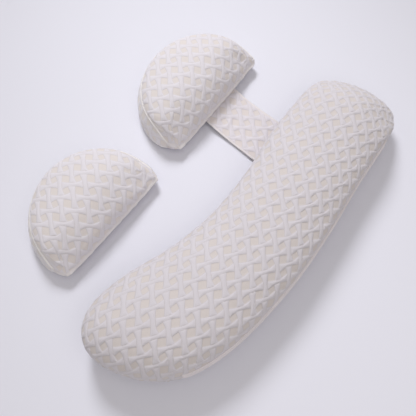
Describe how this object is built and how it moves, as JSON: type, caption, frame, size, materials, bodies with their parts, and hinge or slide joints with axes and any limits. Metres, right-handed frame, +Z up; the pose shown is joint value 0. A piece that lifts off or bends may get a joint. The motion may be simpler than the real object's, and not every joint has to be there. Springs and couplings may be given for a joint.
{
  "type": "pregnancy pillow set",
  "caption": "Long curved body pillow joined by a broad strap to a half-moon cushion, with a second loose half-moon cushion, all in raised lattice cloth.",
  "frame": {"origin": "centre of the set's plan, on the surface that it lies on", "axes": "+X along the long pillow from its round end to its square end, +Y from the long pillow towards the half-moons, +Z up"},
  "size_m": [1.0397, 0.7671, 0.146],
  "materials": {
    "lattice_cloth": "off-white knitted cloth with a raised woven lattice",
    "plain_cloth": "plain smooth off-white knit",
    "strap_cloth": "the lattice cloth, doubled and stitched along its edges",
    "half_moon_cloth": "off-white knitted cloth with a raised woven lattice",
    "gusset_cloth": "the lattice cloth, in a narrow band between two seams"
  },
  "bodies": {
    "root": {"long_pillow": "lattice_cloth", "side_placket": "plain_cloth", "strap": "strap_cloth", "strapped_half_moon": "half_moon_cloth", "strapped_half_moon_gusset": "gusset_cloth", "loose_half_moon": "half_moon_cloth", "loose_half_moon_gusset": "gusset_cloth"}
  },
  "joints": []
}
